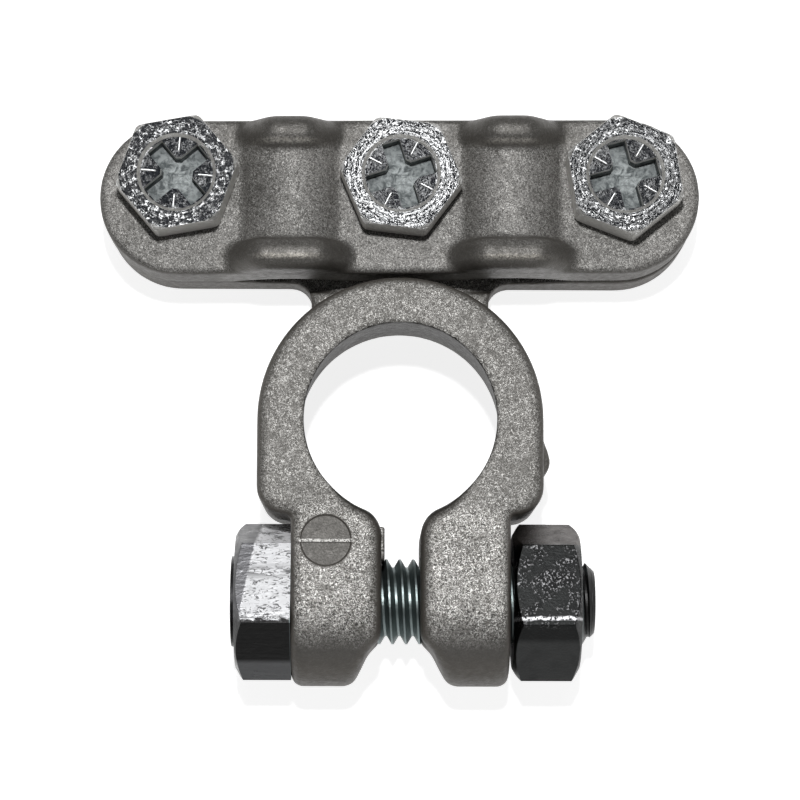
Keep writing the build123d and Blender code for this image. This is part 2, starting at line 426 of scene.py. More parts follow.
def markTint(material, skin, y, paintedShade):
    look = markLook
    radius = look["radius"] * mm
    centred = placeOn(material, (look["x"] * mm, look["y"] * mm, look["top"] * mm))
    away = addNode(material, "ShaderNodeVectorMath", {0: centred}, operation="LENGTH").outputs["Value"]
    within = fade(material, away, radius + look["edgeFrom"] * mm, radius + look["edgeTo"] * mm)
    offBar = apart(material, y, look["y"] * mm)
    offBar = spread(material, offBar, look["barFrom"] * mm, look["barTo"] * mm)
    floor = times(material, within, offBar)
    skin["base"] = mixColour(material, times(material, floor, look["skinShare"]), skin["base"], look["skin"])
    skin["paintedGlint"] = times(material, skin["paintedGlint"], minus(material, 1.0, floor))
    # painted shade: a dark ring round the edge of the sunk floor, standing in for the shade at the mark's rim
    rim = apart(material, away, radius)
    rim = spread(material, rim, look["rimShadeFrom"] * mm, look["rimShadeTo"] * mm, look["rimShadeShare"], 0.0)
    skin["base"] = mixColour(material, times(material, rim, offBar), skin["base"], paintedShade)
    # painted glints: bright grains along the bar
    bar = times(material, within, minus(material, 1.0, offBar))
    grains = spread(material, skin["grain"], *look["barGrain"], 0.0, look["barPaintedGlint"])
    skin["paintedGlint"] = most(material, skin["paintedGlint"], times(material, bar, grains))


# painted shade: the wall of the ring's bore is painted near black, standing in for the shade inside it
boreShadeLook = {"radius": 9.3 * mm, "blend": 0.4 * mm, "skin": (0.024, 0.021, 0.017, 1)}


def castingFinish(name, look):
    material, shader = newMaterial(name)
    skin = castSkin(material, look)
    x, y = axesOf(material, skin["place"])[:2]
    earTint(material, skin, y)
    markTint(material, skin, y, look["paintedShade"])
    # painted shade: near black on the bore's wall
    offBore = fromAxis(material, x, y)
    offBore = spread(material, offBore, boreShadeLook["radius"], boreShadeLook["radius"] + boreShadeLook["blend"])
    paintedShade = mixColour(material, offBore, boreShadeLook["skin"], look["paintedShade"])
    rough = spread(material, skin["coarse"], *look["roughBand"], *look["roughness"])
    shader.inputs["Metallic"].default_value = look["metallic"]
    finishSkin(material, shader, look, skin, paintedShade, rough)
    return material


beadLook = {
    "middle": 21.35 * mm,
    "rowFrom": 4.1 * mm,
    "rowTo": 5.4 * mm,
    "places": 10.35 * mm,
    "reachFrom": 4.6 * mm,
    "reachTo": 8.0 * mm,
    # painted shade on the beads: its colour and share
    "skin": (0.070, 0.066, 0.060, 1),
    "skinShare": 0.8,
    "paintedGlint": 0.25,
    "metallic": 0.4,
    "smoother": 0.08,
    # painted crest highlight: where the crests lie, then its width, reach, grain, share and colour
    "crests": (15.15 * mm, 26.05 * mm),
    "wornFrom": 0.05 * mm,
    "wornTo": 0.40 * mm,
    "highlightReachFrom": 1.1 * mm,
    "highlightReachTo": 4.3 * mm,
    "wornBand": (0.40, 0.60),
    "wornLeast": 0.15,
    "highlightShare": 0.3,
    "worn": (0.72, 0.68, 0.60, 1),
}


def paintedCrestHighlights(material, skin, y, along):
    # painted highlight: a pale line along the crest of each bead, standing in for the lamp's glint there
    look = beadLook
    front, back = (apart(material, y, crest) for crest in look["crests"])
    worn = calc(material, "MINIMUM", front, back)
    worn = fade(material, worn, look["wornFrom"], look["wornTo"], smooth=True)
    reach = fade(material, along, look["highlightReachFrom"], look["highlightReachTo"], smooth=True)
    grains = spread(material, skin["grain"], *look["wornBand"], look["wornLeast"], 1.0)
    worn = times(material, worn, reach, grains, look["highlightShare"])
    skin["base"] = mixColour(material, worn, skin["base"], look["worn"])


def capFinish(name, look):
    material, shader = newMaterial(name)
    skin = castSkin(material, look)
    x, y = axesOf(material, skin["place"])[:2]
    # painted shade: the beads are painted darker, standing in for the shade on their flanks; their skin is
    # also smoother and more metallic, and a painted highlight runs along each crest
    row = apart(material, y, beadLook["middle"])
    row = spread(material, row, beadLook["rowFrom"], beadLook["rowTo"], smooth=True)
    along = apart(material, calc(material, "ABSOLUTE", x), beadLook["places"])
    reach = fade(material, along, beadLook["reachFrom"], beadLook["reachTo"], smooth=True)
    onBead = times(material, row, reach)
    share = times(material, onBead, beadLook["skinShare"])
    skin["base"] = mixColour(material, share, skin["base"], beadLook["skin"])
    skin["paintedGlint"] = times(material, skin["paintedGlint"], between(material, onBead, 1.0, beadLook["paintedGlint"]))
    paintedCrestHighlights(material, skin, y, along)
    metal = between(material, onBead, look["metallic"], beadLook["metallic"])
    link(material, metal, shader.inputs["Metallic"])
    rough = spread(material, skin["coarse"], *look["roughBand"], *look["roughness"])
    rough = minus(material, rough, times(material, onBead, beadLook["smoother"]))
    finishSkin(material, shader, look, skin, look["paintedShade"], rough)
    return material


screwNoise = {
    "rings": (4.0, 2.0, 0.7, 0.3),
    "crossing": (3500.0, 2.0, 0.7, 1.0),
    "pits": (4600.0, 2.0, 0.75, 0.6),
    "wear": (1900.0, 3.0, 0.7),
    "recess": (1500.0, 3.0, 0.7, 0.5),
}
screwLook = {
    "bright": (0.74, 0.75, 0.76, 1),
    "dull": (0.006, 0.0065, 0.0075, 1),
    # painted light: the side faces are painted a pale grey, standing in for the light they catch and reflect
    "side": (0.66, 0.65, 0.62, 1),
    "dish": (0.005, 0.0055, 0.0065, 1),
    "wear": {"left": 0.015, "middle": 0.6, "right": 0.2},
    "wearBand": (0.45, 0.57),
    "ringStretch": (1000.0, 0.5, 0.3),
    "ringWidth": 0.044,
    "crossingTurn": (0, 0, 0.7),
    "crossingStretch": (1, 0.4, 1),
    "crossingWidth": 0.038,
    "pitBand": (0.56, 0.59),
    "arcs": (3.90 * mm, 4.30 * mm),
    "arcLine": (0.03 * mm, 0.10 * mm),
    "arcBand": (0.42, 0.50),
    "dishEdge": ((dishRadius - 0.45) * mm, (dishRadius - 0.15) * mm),
    "dishMarks": 0.12,
    "tickLine": (0.05 * mm, 0.11 * mm),
    "tickInner": (1.9 * mm, 2.0 * mm),
    "tickOuter": (3.3 * mm, 3.4 * mm),
    "topBand": (0.55, 0.85),
    "roughness": (0.40, 0.50),
    "sideMetal": 0.4,
    "sideBump": 0.25,
    "bumpStrength": 0.7,
    "scratchDepth": 0.06 * mm,
}
recessLook = {
    "skin": (0.045, 0.054, 0.056, 1),
    "worn": (0.33, 0.355, 0.355, 1),
    "wornBand": (0.38, 0.62),
    "wornFrom": 0.4 * mm,
    "wornTo": 3.0 * mm,
    "wornLeast": 0.35,
    "top": ((headTop - 1.1) * mm, (headTop - 0.9) * mm),
    "bottom": (11.5 * mm, 11.6 * mm),
    "edge": ((dishRadius - 0.2) * mm, dishRadius * mm),
    "metallic": 0.35,
    "roughness": 0.6,
}


def headMarks(material, look, centre, radius, turn, wear):
    # scratches that run round the rim, others that cross it, pits and two turned arcs
    centred = placeOn(material, centre)
    outward, around, level = look["ringStretch"]
    ringPlace = addNode(
        material,
        "ShaderNodeCombineXYZ",
        {0: times(material, radius, outward), 1: times(material, turn, around), 2: level},
    )
    rings = noise(material, ringPlace.outputs["Vector"], *screwNoise["rings"])
    rings = ridges(material, rings, look["ringWidth"])
    crossing = placeOn(material, centre, look["crossingTurn"], look["crossingStretch"])
    crossing = ridges(material, noise(material, crossing, *screwNoise["crossing"]), look["crossingWidth"])
    pits = noise(material, centred, *screwNoise["pits"])
    marks = most(material, rings, crossing)
    marks = most(material, marks, spread(material, pits, *look["pitBand"]))
    inner, outer = (apart(material, radius, arc) for arc in look["arcs"])
    arcs = fade(material, calc(material, "MINIMUM", inner, outer), *look["arcLine"])
    arcs = times(material, arcs, spread(material, pits, *look["arcBand"]))
    marks = most(material, marks, arcs)
    worn = noise(material, centred, *screwNoise["wear"])
    marks = times(material, marks, spread(material, worn, *look["wearBand"], wear, 1.0))
    return marks, pits


def tickMarks(material, look, centre, radius, turned):
    # bright lines on the ribs between the arms of the recess
    ribs = placeOn(material, centre, (0, 0, -turned - math.pi / 4))
    along, across = axesOf(material, ribs)[:2]
    nearest = calc(
        material, "MINIMUM", calc(material, "ABSOLUTE", along), calc(material, "ABSOLUTE", across)
    )
    tick = fade(material, nearest, *look["tickLine"])
    tick = times(material, tick, spread(material, radius, *look["tickInner"]))
    return times(material, tick, fade(material, radius, *look["tickOuter"]))


def recessTint(material, centred, radius, height, base):
    look = recessLook
    below = fade(material, height, *look["top"])
    above = spread(material, height, *look["bottom"])
    recess = times(material, below, above, fade(material, radius, *look["edge"]))
    worn = spread(material, noise(material, centred, *screwNoise["recess"]), *look["wornBand"])
    inward = spread(material, radius, look["wornFrom"], look["wornTo"], 1.0, look["wornLeast"])
    floor = mixColour(material, times(material, worn, inward), look["skin"], look["worn"])
    return recess, mixColour(material, recess, base, floor)


def screwFinish(name, look, centre, turned, wear):
    material, shader = newMaterial(name)
    centred = placeOn(material, centre)
    x, y, height = axesOf(material, centred)
    radius = fromAxis(material, x, y)
    turn = calc(material, "ARCTAN2", y, x)
    marks, pits = headMarks(material, look, centre, radius, turn, wear)
    inDish = fade(material, radius, *look["dishEdge"])
    ground = mixColour(material, inDish, look["dull"], look["dish"])
    marks = times(material, marks, between(material, inDish, 1.0, look["dishMarks"]))
    marks = most(material, marks, tickMarks(material, look, centre, radius, turned))
    base = mixColour(material, marks, ground, look["bright"])
    # painted light: the side faces take the paler side colour and less metal
    top = spread(material, upness(material), *look["topBand"])
    base = mixColour(material, top, look["side"], base)
    recess, base = recessTint(material, centred, radius, height, base)
    link(material, base, shader.inputs["Base Color"])
    metal = between(material, recess, 1.0, recessLook["metallic"])
    metal = times(material, metal, between(material, top, look["sideMetal"], 1.0))
    link(material, metal, shader.inputs["Metallic"])
    rough = between(material, marks, *look["roughness"])
    rough = most(material, rough, times(material, recess, recessLook["roughness"]))
    link(material, rough, shader.inputs["Roughness"])
    calm = times(material, minus(material, 1.0, recess), between(material, top, look["sideBump"], 1.0))
    bumps = times(material, plus(material, marks, pits), calm)
    addBump(material, shader, bumps, look["bumpStrength"], look["scratchDepth"])
    return material


boltNoise = {
    "blotch": (700.0, 3.0, 0.65, 0.8),
    "streaks": (1900.0, 3.0, 0.7, 0.3),
    "scratches": (1500.0, 2.0, 0.6, 1.6),
}
# the face, head and tip edges lie along X, and the other edges along Y
boltLook = {
    # the face: worn, and painted bright as a stand-in for the reflection it shows
    "bright": (0.60, 0.605, 0.62, 1),
    # painted highlight: the top flat of the head
    "paintedHighlightFacet": (0.92, 0.92, 0.94, 1),
    "paintedHighlightEdge": (-11.3 * mm, -11.1 * mm),
    "scratch": (0.045, 0.045, 0.048, 1),
    "scratchStretch": (0.40, 1.5, 1),
    "scratchWidth": 0.055,
    "scratchBand": (0.46, 0.52),
    "streakStretch": (0.22, 1, 1),
    "streakMiddle": -13.9 * mm,
    "streakReach": 0.8 * mm,
    "streakBand": (0.46, 0.54),
    "chamfer": (0.060, 0.060, 0.063, 1),
    "faceStart": -9.7 * mm,
    "faceSlant": 0.2045,
    "faceEdge": (-13.0 * mm, -12.7 * mm),
    # painted shade: the lower flats, black and then dark grey
    "black": (0.012, 0.012, 0.012, 1),
    "paintedShadeEdge": (-18.4 * mm, -17.4 * mm),
    "grey": (0.075, 0.076, 0.078, 1),
    "paintedGreyShadeEdge": (-22.2 * mm, -21.8 * mm),
    "waver": 2.2 * mm,
    "thread": (0.19, 0.225, 0.225, 1),
    "headEdge": (-10.05 * mm, -9.85 * mm),
    "tip": (0.030, 0.030, 0.030, 1),
    "tipEdge": (16.7 * mm, 17.0 * mm),
    "shine": 0.12,
    "roughBand": (0.3, 0.7),
    "roughness": (0.41, 0.25),
    "faceRoughness": 0.15,
    "threadRoughness": 0.12,
    "bumpStrength": 0.5,
    "scratchDepth": 0.06 * mm,
}


def headScratches(material, look, y, blotch, streaks):
    place = placeOn(material, stretch=look["scratchStretch"])
    lines = ridges(material, noise(material, place, *boltNoise["scratches"]), look["scratchWidth"])
    lines = times(material, lines, spread(material, blotch, *look["scratchBand"]))
    nearEdge = fade(material, apart(material, y, look["streakMiddle"]), 0.0, look["streakReach"])
    rubbed = times(material, nearEdge, fade(material, streaks, *look["streakBand"]))
    return most(material, lines, rubbed)


def boltFinish(name, look):
    material, shader = newMaterial(name)
    place = placeOn(material)
    x, y = axesOf(material, place)[:2]
    blotch = noise(material, place, *boltNoise["blotch"])
    streaks = noise(material, placeOn(material, stretch=look["streakStretch"]), *boltNoise["streaks"])
    ragged = plus(material, y, times(material, minus(material, blotch, noiseMiddle), look["waver"]))
    # painted highlight: the top flat is painted paler than the face
    pale = mixColour(material, spread(material, y, *look["paintedHighlightEdge"]), look["bright"], look["paintedHighlightFacet"])
    scratches = headScratches(material, look, y, blotch, streaks)
    head = mixColour(material, scratches, pale, look["scratch"])
    # the bright face, worn and also painted bright as a stand-in for the reflection it shows, narrows towards
    # the outer end of the head
    slant = times(material, minus(material, look["faceStart"], ragged), look["faceSlant"])
    onFace = spread(material, plus(material, x, slant), *look["faceEdge"])
    head = mixColour(material, onFace, look["chamfer"], head)
    # painted shade on the lower flats of the head
    onPaintedShade = fade(material, ragged, *look["paintedShadeEdge"])
    head = mixColour(material, onPaintedShade, head, look["black"])
    head = mixColour(material, fade(material, y, *look["paintedGreyShadeEdge"]), head, look["grey"])
    onHead = fade(material, x, *look["headEdge"])
    shank = mixColour(material, spread(material, x, *look["tipEdge"]), look["thread"], look["tip"])
    link(material, mixColour(material, onHead, shank, head), shader.inputs["Base Color"])
    rubbed = times(material, times(material, onHead, onFace), minus(material, 1.0, onPaintedShade))
    link(material, between(material, rubbed, 1.0, look["shine"]), shader.inputs["Metallic"])
    rough = spread(material, blotch, *look["roughBand"], *look["roughness"])
    rough = plus(material, rough, times(material, rubbed, look["faceRoughness"]))
    offHead = minus(material, 1.0, onHead)
    rough = plus(material, rough, times(material, offHead, look["threadRoughness"]))
    link(material, rough, shader.inputs["Roughness"])
    addBump(material, shader, plus(material, streaks, blotch), look["bumpStrength"], look["scratchDepth"])
    return material


nutNoise = {"blotch": (600.0, 3.0, 0.6, 0.5), "fine": (4500.0, 2.0, 0.7)}
# the edges lie along Y, across the nut
nutLook = {
    "base": (0.012, 0.0125, 0.0125, 1),
    "brown": (0.060, 0.050, 0.045, 1),
    "brownEdge": (-11.4 * mm, -11.2 * mm),
    "lower": (0.032, 0.033, 0.033, 1),
    "lowerEdge": (-20.4 * mm, -19.9 * mm),
    "speck": (0.20, 0.20, 0.205, 1),
    "speckBand": (0.56, 0.62),
    "speckPatches": (0.45, 0.60),
    "speckEdge": (-19.2 * mm, -18.2 * mm),
    # painted highlight on the edge between the two upper flats
    "shine": (0.42, 0.42, 0.43, 1),
    "highlightMiddle": -17.85 * mm,
    "highlightLine": (0.06 * mm, 0.22 * mm),
    "highlightBand": (0.40, 0.50),
    "waver": 0.6 * mm,
    "metallic": 1.0,
    "roughBand": (0.3, 0.7),
    "roughness": (0.36, 0.56),
    "bumpStrength": 0.5,
    "scratchDepth": 0.05 * mm,
}


def nutFinish(name, look):
    material, shader = newMaterial(name)
    place = placeOn(material)
    y = axesOf(material, place)[1]
    blotch, fine = (noise(material, place, *nutNoise[layer]) for layer in ("blotch", "fine"))
    base = mixColour(material, spread(material, y, *look["brownEdge"]), look["base"], look["brown"])
    base = mixColour(material, fade(material, y, *look["lowerEdge"]), base, look["lower"])
    specks = spread(material, fine, *look["speckBand"])
    specks = times(material, specks, spread(material, blotch, *look["speckPatches"]))
    specks = times(material, specks, spread(material, y, *look["speckEdge"]))
    base = mixColour(material, specks, base, look["speck"])
    # painted highlight: a bright line on the edge between the two upper flats, standing in for the lamp's
    # glint there
    wavered = plus(material, y, times(material, blotch, look["waver"]))
    edge = fade(material, apart(material, wavered, look["highlightMiddle"]), *look["highlightLine"])
    edge = times(material, edge, spread(material, fine, *look["highlightBand"]))
    link(material, mixColour(material, edge, base, look["shine"]), shader.inputs["Base Color"])
    shader.inputs["Metallic"].default_value = look["metallic"]
    rough = spread(material, blotch, *look["roughBand"], *look["roughness"])
    link(material, rough, shader.inputs["Roughness"])
    addBump(material, shader, plus(material, fine, blotch), look["bumpStrength"], look["scratchDepth"])
    return material


castZinc = castingFinish("castZinc", castingLook)
capZinc = capFinish("capZinc", capLook)
boltZinc = boltFinish("boltZinc", boltLook)
nutZinc = nutFinish("nutZinc", nutLook)
print("finishes made")


# casting and cap with soft cast corners and clean holes; lengths in millimetres
castingShape = {
    "cell": 0.26,
    "rounds": 5,
    "smoothUpTo": 35,
    "screwHole": 3.05,
    "drillMiddle": 4.0,
    "boltHole": 4.08,
    "boltDrillLength": 30.0,
}
capShape = {"cell": 0.22, "rounds": 12, "smoothUpTo": 35, "screwHole": 3.25, "drillMiddle": 9.0}
drillLength = 12.0


def softenCasting(piece, shape):
    applyModifier(piece, "REMESH", "skin", mode="VOXEL", voxel_size=shape["cell"] * mm)
    applyModifier(piece, "SMOOTH", "cast", factor=0.5, iterations=shape["rounds"])


def markCutter():
    # two halves of a shallow cone, one on each side of the bar
    look = markLook
    margin = look["cutterMargin"]
    halves = []
    for side in (1, -1):
        bpy.ops.mesh.primitive_cone_add(
            vertices=72,
            radius1=(look["radius"] - look["depth"]) * mm,
            radius2=(look["radius"] + margin) * mm,
            depth=(look["depth"] + margin) * mm,
            location=(look["x"] * mm, look["y"] * mm, (look["top"] + (margin - look["depth"]) / 2) * mm),
        )
        half = bpy.context.object
        settle(half)
        bpy.ops.object.mode_set(mode="EDIT")
        bpy.ops.mesh.select_all(action="SELECT")
        bpy.ops.mesh.bisect(
            plane_co=(0, (look["y"] + side * look["bar"] / 2) * mm, 0),
            plane_no=(0, side, 0),
            use_fill=True,
            clear_inner=True,
        )
        bpy.ops.object.mode_set(mode="OBJECT")
        halves.append(half)
    return halves


def holeCutters(shape):
    drills = []
    for x in screwPlaces.values():
        bpy.ops.mesh.primitive_cylinder_add(
            vertices=64,
            radius=shape["screwHole"] * mm,
            depth=drillLength * mm,
            location=(x * mm, screwLine * mm, shape["drillMiddle"] * mm),
        )
        drills.append(bpy.context.object)
        settle(drills[-1])
    return drills


def boltCutter(shape):
    bpy.ops.mesh.primitive_cylinder_add(
        vertices=80,
        radius=shape["boltHole"] * mm,
        depth=shape["boltDrillLength"] * mm,
        location=(0, boltLine["y"] * mm, boltLine["z"] * mm),
        rotation=(0, math.pi / 2, 0),
    )
    drill = bpy.context.object
    settle(drill)
    return drill


def cutAway(piece, cutters):
    for cutter in cutters:
        applyModifier(piece, "BOOLEAN", "cut", operation="DIFFERENCE", object=cutter, solver="MANIFOLD")
        bpy.data.objects.remove(cutter)


finLook = {"from": (-2.3, -12.8, 2.0), "to": (-1.40, -9.8, 13.6), "round": 0.22}


def flashFin():
    # a sliver of flash left standing on the inner face of one ear
    low, high = finLook["from"], finLook["to"]
    bpy.ops.mesh.primitive_cube_add(
        size=1,
        location=[(first + second) / 2 * mm for first, second in zip(low, high)],
        scale=[(second - first) * mm for first, second in zip(low, high)],
    )
    fin = bpy.context.object
    settle(fin)
    applyModifier(fin, "BEVEL", "round", width=finLook["round"] * mm, segments=3)
    return fin


def castingPiece():
    casting = copyOfNode("clamp_body", "castingBody")
    softenCasting(casting, castingShape)
    cutAway(casting, markCutter() + holeCutters(castingShape) + [boltCutter(castingShape)])
    fin = flashFin()
    applyModifier(casting, "BOOLEAN", "fin", operation="UNION", object=fin, solver="MANIFOLD")
    bpy.data.objects.remove(fin)
    smoothByAngle(casting, castingShape["smoothUpTo"])
    return casting


castingBody = castingPiece()
dress(castingBody, castZinc)
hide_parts("clamp_body")
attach(castingBody, "casting")
print("casting made,", len(castingBody.data.polygons), "faces")


def capPiece():
    plate = copyOfNode("cable_cap", "capPlate")
    softenCasting(plate, capShape)
    cutAway(plate, holeCutters(capShape))
    smoothByAngle(plate, capShape["smoothUpTo"])
    return plate


cap = capPiece()
dress(cap, capZinc)
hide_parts("cable_cap")
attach(cap, "cap")
print("cap made,", len(cap.data.polygons), "faces")


# threads: one closed ridge wound as a helix, then cut to length by a coned envelope
threadForm = {
    "bite": 0.15,  # how deep the ridge reaches into the core
    "ridgeShare": 0.98,
    "crestShare": 0.14,
    "steps": 48,
    "envelopeMargin": 0.02,
    "weld": 0.0005,
    "smoothUpTo": 32,
}
touching = 0.001 * mm


def ridgeHelix(name, thread):
    turns = math.ceil((thread["end"] - thread["start"]) / thread["pitch"]) + 1
    pitch = thread["pitch"] * mm
    depth = (thread["crest"] - thread["root"] + threadForm["bite"]) * mm
    middle = thread["crest"] * mm - depth / 2
    start = thread["start"] * mm
    bpy.ops.mesh.primitive_plane_add(size=1, location=(0, 0, start))
    ridge = bpy.context.object
    ridge.name = name
    bpy.ops.object.mode_set(mode="EDIT")
    bpy.ops.mesh.select_all(action="SELECT")
    bpy.ops.transform.rotate(value=math.pi / 2, orient_axis="X", center_override=(0, 0, start))
    bpy.ops.transform.resize(value=(depth, 1, pitch * threadForm["ridgeShare"]))
    bpy.ops.transform.translate(value=(middle, 0, 0))
    bpy.ops.mesh.delete(type="ONLY_FACE")
    bpy.ops.mesh.select_all(action="DESELECT")
    bpy.ops.object.mode_set(mode="OBJECT")
    for vertex in ridge.data.vertices:
        if vertex.co.x > middle:
            vertex.co.z *= threadForm["crestShare"]
    applyModifier(
        ridge,
        "SCREW",
        "helix",
        axis="Z",
        angle=2 * math.pi,
        screw_offset=pitch,
        iterations=turns,
        steps=threadForm["steps"],
        render_steps=threadForm["steps"],
        use_merge_vertices=False,
    )
    bpy.ops.object.mode_set(mode="EDIT")
    bpy.ops.mesh.select_all(action="SELECT")
    bpy.ops.mesh.remove_doubles(threshold=threadForm["weld"] * mm)
    bpy.ops.mesh.fill_holes(sides=4)
    bpy.ops.mesh.normals_make_consistent(inside=False)
    bpy.ops.object.mode_set(mode="OBJECT")
    settle(ridge)
    return ridge


def coneEnd(piece, top, radius, bevel):
    # turns the rim of the upper end back to a cone
    selectFaces(piece, lambda face: abs(face.center.z - top) < touching)
    bpy.ops.mesh.inset(thickness=bevel)
    bpy.ops.object.mode_set(mode="OBJECT")
    for vertex in piece.data.vertices:
        onTop = abs(vertex.co.z - top) < touching
        if onTop and math.hypot(vertex.co.x, vertex.co.y) > radius - bevel / 2:
            vertex.co.z -= bevel


def coneEnvelope(thread):
    long = (thread["end"] - thread["start"]) * mm
    radius = (thread["crest"] + threadForm["envelopeMargin"]) * mm
    bpy.ops.mesh.primitive_cylinder_add(
        vertices=96, radius=radius, depth=long, location=(0, 0, thread["start"] * mm + long / 2)
    )
    envelope = bpy.context.object
    settle(envelope)
    coneEnd(envelope, thread["end"] * mm, radius, thread["tip"] * mm)
    return envelope


def threadedShank(name, thread):
    # stands on the Z axis, with its tip up
    ridge = ridgeHelix(name + "Ridge", thread)
    envelope = coneEnvelope(thread)
    applyModifier(ridge, "BOOLEAN", "trim", operation="INTERSECT", object=envelope, solver="EXACT")
    bpy.data.objects.remove(envelope)
    long = thread["end"] + thread["sunk"]
    bpy.ops.mesh.primitive_cylinder_add(
        vertices=64,
        radius=thread["root"] * mm,
        depth=long * mm,
        location=(0, 0, (thread["end"] - long / 2) * mm),
    )
    core = bpy.context.object
    settle(core)
    coneEnd(core, thread["end"] * mm, thread["root"] * mm, thread["coreBevel"] * mm)
    shank = joinPieces(name, [core, ridge])
    smoothSides(shank, threadForm["smoothUpTo"])
    return shank


cableThread = {
    "pitch": 1.0,
    "crest": 2.95,
    "root": 2.35,
    "start": 0.6,
    "end": 10.0,
    "tip": 0.6,
    "sunk": 0.1,
    "coreBevel": 0.15,
}
cableScrewLook = {
    "flats": 10.0,
    "headTurns": {"left": 10.3, "middle": -6.6, "right": 39.0},
    "recessTurns": {"left": 40.0, "middle": 18.0, "right": 15.0},
    "turnedRadius": 5.68,
    "turnedBevel": 0.36,
    "edge": 0.12,
    "smoothUpTo": 25,
    "dishDepth": 0.35,
    "dishSlope": 0.84,
    "dishMargin": 1.0,
    "recessReach": 3.25,
    "recessArm": 1.85,
    "recessDepth": 1.9,
    "recessNarrowing": 0.3,
    "recessCutter": 3.0,
    "coreFoot": 1.35,
    "coreMouth": 1.60,
    "coreDrop": 0.02,
    "tickFrom": 2.0,
    "tickTo": 3.3,
    "tickWidth": 0.16,
    "tickHeight": 0.16,
    "tickRound": 0.05,
}
cornerTurn = 30  # degrees from a corner of the blank to the middle of a flat


def headBlank(look):
    # a hexagon with rounded edges and corners turned back to a cone
    middle = (headSeat + headHeight / 2) * mm
    bpy.ops.mesh.primitive_cylinder_add(
        vertices=6,
        radius=look["flats"] / math.sqrt(3) * mm,
        depth=headHeight * mm,
        location=(0, 0, middle),
    )
    head = bpy.context.object
    settle(head)
    roundEdges(head, "edges", look["edge"], segments=3, degrees=20)
    bpy.ops.mesh.primitive_cylinder_add(
        vertices=120,
        radius=look["turnedRadius"] * mm,
        depth=headHeight * mm,
        location=(0, 0, middle),
    )
    turned = bpy.context.object
    settle(turned)
    roundEdges(turned, "cone", look["turnedBevel"], segments=1, degrees=40)
    applyModifier(head, "BOOLEAN", "turn", operation="INTERSECT", object=turned, solver="MANIFOLD")
    bpy.data.objects.remove(turned)
    return head


def dishCutter(look, dishFloor):
    deep = look["dishDepth"] + look["dishMargin"]
    bpy.ops.mesh.primitive_cone_add(
        vertices=96,
        radius1=(dishRadius - look["dishDepth"] * look["dishSlope"]) * mm,
        radius2=(dishRadius + look["dishMargin"] * look["dishSlope"]) * mm,
        depth=deep * mm,
        location=(0, 0, (dishFloor + deep / 2) * mm),
    )
    dish = bpy.context.object
    settle(dish)
    return dish


def armCutter(look, bottom, turn):
    # one bar of the cross, narrower towards its foot
    tall = look["recessCutter"]
    bpy.ops.mesh.primitive_cube_add(
        size=1,
        location=(0, 0, (bottom + tall / 2) * mm),
        scale=(2 * look["recessReach"] * mm, look["recessArm"] * mm, tall * mm),
    )
    arm = bpy.context.object
    settle(arm)
    selectFaces(arm, lambda face: face.normal.z < -0.5)
    narrow = look["recessNarrowing"]
    bpy.ops.transform.resize(
        value=(1 - narrow / look["recessReach"] / 2, 1 - narrow / look["recessArm"], 1),
        center_override=(0, 0, bottom * mm),
    )
    bpy.ops.object.mode_set(mode="OBJECT")
    arm.rotation_euler = (0, 0, turn)
    settle(arm)
    return arm


def coreCutter(look, bottom):
    tall = look["recessCutter"]
    bpy.ops.mesh.primitive_cone_add(
        vertices=48,
        radius1=look["coreFoot"] * mm,
        radius2=look["coreMouth"] * mm,
        depth=tall * mm,
        location=(0, 0, (bottom + tall / 2 - look["coreDrop"]) * mm),
    )
    core = bpy.context.object
    settle(core)
    return core


def recessCutters(look):
    dishFloor = headTop - look["dishDepth"]
    bottom = dishFloor - look["recessDepth"]
    cutters = [dishCutter(look, dishFloor)]
    cutters += [armCutter(look, bottom, turn) for turn in (0, math.pi / 2)]
    return cutters + [coreCutter(look, bottom)]


def tickLines(look):
    # four thin radial ribs between the arms of the recess
    long = look["tickTo"] - look["tickFrom"]
    middle = (look["tickFrom"] + look["tickTo"]) / 2
    lines = []
    for degrees in (45, 135, 225, 315):
        angle = math.radians(degrees)
        x, y, z = middle * math.cos(angle), middle * math.sin(angle), headTop - look["dishDepth"]
        bpy.ops.mesh.primitive_cube_add(
            size=1,
            location=(x * mm, y * mm, z * mm),
            rotation=(0, 0, angle),
            scale=(long * mm, look["tickWidth"] * mm, 2 * look["tickHeight"] * mm),
        )
        rib = bpy.context.object
        settle(rib)
        applyModifier(rib, "BEVEL", "round", width=look["tickRound"] * mm, segments=2)
        lines.append(rib)
    return lines


def cableScrewPiece(side, shank):
    look = cableScrewLook
    head = headBlank(look)
    recessTurn = look["recessTurns"][side]
    head.rotation_euler = (0, 0, math.radians(look["headTurns"][side] + cornerTurn - recessTurn))
    settle(head)
    cutAway(head, recessCutters(look))
    smoothByAngle(head, look["smoothUpTo"])
    own = shank.copy()
    own.data = shank.data.copy()
    bpy.context.scene.collection.objects.link(own)
    own.rotation_euler = (math.pi, 0, 0)
    own.location = (0, 0, headSeat * mm)
    settle(own)
    screw = joinPieces("cableScrew" + side.title(), [head, own] + tickLines(look))
    screw.rotation_euler = (0, 0, math.radians(recessTurn))
    screw.location = (screwPlaces[side] * mm, screwLine * mm, 0)
    settle(screw)
    return screw


cableShank = threadedShank("cableShank", cableThread)
for side, x in screwPlaces.items():
    screw = cableScrewPiece(side, cableShank)
    centre = (x * mm, screwLine * mm, 0)
    turned = math.radians(cableScrewLook["recessTurns"][side])
    dress(screw, screwFinish("screwZinc" + side.title(), screwLook, centre, turned, screwLook["wear"][side]))
    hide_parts("cable_screw_" + side)
    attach(screw, "screw_" + side)
bpy.data.objects.remove(cableShank)
print("cable screws made")

